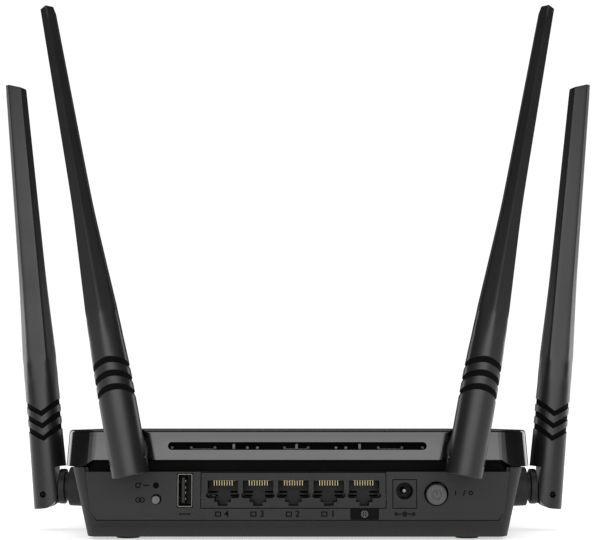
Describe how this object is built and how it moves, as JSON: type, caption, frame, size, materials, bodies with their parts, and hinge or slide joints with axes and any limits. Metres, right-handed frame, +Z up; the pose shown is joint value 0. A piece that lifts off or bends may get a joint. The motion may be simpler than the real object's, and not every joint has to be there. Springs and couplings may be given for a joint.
{
  "type": "wireless router",
  "caption": "Low black desktop router with a rear panel of sockets and buttons, and long antennas that swivel and fold on their hinges.",
  "frame": {"origin": "on the table, at the centre of the footprint of the whole object at rest", "axes": "+Z up; the rear panel with the sockets faces -Y; +X to the right as seen from the rear panel's side"},
  "size_m": [0.2622, 0.144, 0.2109],
  "materials": {
    "matte_charcoal": "fine spark-textured moulded ABS",
    "gloss_black": "polished moulded ABS",
    "antenna_black": "satin moulded ABS",
    "hinge_black": "moulded nylon",
    "socket_black": "moulded PBT",
    "button_grey": "moulded ABS",
    "button_light_grey": "moulded ABS",
    "foot_rubber": "soft rubber",
    "contact_gold": "gold-plated phosphor bronze",
    "nickel_plate": "nickel-plated steel",
    "screw_steel": "zinc-plated steel",
    "pin_steel": "blackened steel",
    "tinned_steel": "tin-plated steel",
    "board_green": "green solder mask on glass epoxy",
    "chip_black": "moulded epoxy",
    "sink_metal": "black anodised",
    "ferrite_grey": "sintered ferrite",
    "capacitor_sleeve": "shrink sleeve",
    "coax_grey": "extruded jacket",
    "clear_acrylic": "clear moulded acrylic"
  },
  "bodies": {
    "casing": {"bottom_housing": "matte_charcoal", "rear_panel": "matte_charcoal", "top_cover": "gloss_black", "led_light_pipe": "clear_acrylic", "circuit_board": "board_green", "lan_socket_block": "socket_black", "lan_contact_strip": "contact_gold", "usb_shell": "nickel_plate", "usb_tongue": "socket_black", "dc_jack_body": "socket_black", "dc_jack_pin": "nickel_plate", "power_switch_body": "chip_black", "dual_switch_body": "chip_black", "main_chip": "chip_black", "heat_sink": "sink_metal", "memory_chip": "chip_black", "shield_can_left": "tinned_steel", "lan_transformer_left": "chip_black", "coax_side_left": "coax_grey", "coax_rear_left": "coax_grey", "shield_can_right": "tinned_steel", "lan_transformer_right": "chip_black", "coax_side_right": "coax_grey", "coax_rear_right": "coax_grey", "power_capacitor_1": "capacitor_sleeve", "power_capacitor_2": "capacitor_sleeve", "power_inductor": "ferrite_grey", "foot_rear_left": "foot_rubber", "cover_screw_rear_left": "screw_steel", "board_screw_rear_left": "screw_steel", "foot_rear_right": "foot_rubber", "cover_screw_rear_right": "screw_steel", "board_screw_rear_right": "screw_steel", "foot_front_left": "foot_rubber", "cover_screw_front_left": "screw_steel", "board_screw_front_left": "screw_steel", "foot_front_right": "foot_rubber", "cover_screw_front_right": "screw_steel", "board_screw_front_right": "screw_steel"},
    "power_button": {"power_button": "button_grey"},
    "pair_button": {"pair_button": "button_light_grey"},
    "reset_plunger": {"reset_plunger": "button_light_grey"},
    "hinge_side_left": {"swivel_side_left": "hinge_black"},
    "arm_side_left": {"antenna_side_left": "antenna_black", "hinge_pin_side_left": "pin_steel", "radiator_side_left": "board_green"},
    "hinge_side_right": {"swivel_side_right": "hinge_black"},
    "arm_side_right": {"antenna_side_right": "antenna_black", "hinge_pin_side_right": "pin_steel", "radiator_side_right": "board_green"},
    "hinge_rear_left": {"swivel_rear_left": "hinge_black"},
    "arm_rear_left": {"antenna_rear_left": "antenna_black", "hinge_pin_rear_left": "pin_steel", "radiator_rear_left": "board_green"},
    "hinge_rear_right": {"swivel_rear_right": "hinge_black"},
    "arm_rear_right": {"antenna_rear_right": "antenna_black", "hinge_pin_rear_right": "pin_steel", "radiator_rear_right": "board_green"}
  },
  "joints": [
    {"name": "swivel_side_left", "type": "hinge", "parent": "casing", "child": "hinge_side_left", "pos_m": [-0.0989, 0.006, 0.0186], "axis": [1, 0, 0], "range_deg": [-90, 90]},
    {"name": "tilt_side_left", "type": "hinge", "parent": "hinge_side_left", "child": "arm_side_left", "pos_m": [-0.1095, 0.006, 0.0153], "axis": [0, -1, 0], "range_deg": [-6.1, 83.9]},
    {"name": "swivel_rear_left", "type": "hinge", "parent": "casing", "child": "hinge_rear_left", "pos_m": [-0.0659, -0.056, 0.0349], "axis": [0, 1, 0], "range_deg": [-79.1, 55.9]},
    {"name": "tilt_rear_left", "type": "hinge", "parent": "hinge_rear_left", "child": "arm_rear_left", "pos_m": [-0.06528, -0.0666, 0.03166], "axis": [0.982, 0, 0.1891], "range_deg": [0, 90]},
    {"name": "swivel_side_right", "type": "hinge", "parent": "casing", "child": "hinge_side_right", "pos_m": [0.0989, 0.006, 0.0186], "axis": [1, 0, 0], "range_deg": [-90, 90]},
    {"name": "tilt_side_right", "type": "hinge", "parent": "hinge_side_right", "child": "arm_side_right", "pos_m": [0.1095, 0.006, 0.0153], "axis": [0, 1, 0], "range_deg": [-6.1, 83.9]},
    {"name": "swivel_rear_right", "type": "hinge", "parent": "casing", "child": "hinge_rear_right", "pos_m": [0.0659, -0.056, 0.0349], "axis": [0, 1, 0], "range_deg": [-55.9, 79.1]},
    {"name": "tilt_rear_right", "type": "hinge", "parent": "hinge_rear_right", "child": "arm_rear_right", "pos_m": [0.06528, -0.0666, 0.03166], "axis": [0.982, 0, -0.1891], "range_deg": [0, 90]},
    {"name": "power_press", "type": "slide", "parent": "casing", "child": "power_button", "axis": [0, 1, 0], "range_m": [0, 0.0015], "stiffness_N_per_m": 1300},
    {"name": "pair_press", "type": "slide", "parent": "casing", "child": "pair_button", "axis": [0, 1, 0], "range_m": [0, 0.0005], "stiffness_N_per_m": 3000},
    {"name": "reset_press", "type": "slide", "parent": "casing", "child": "reset_plunger", "axis": [0, 1, 0], "range_m": [0, 0.0004], "stiffness_N_per_m": 2500}
  ]
}
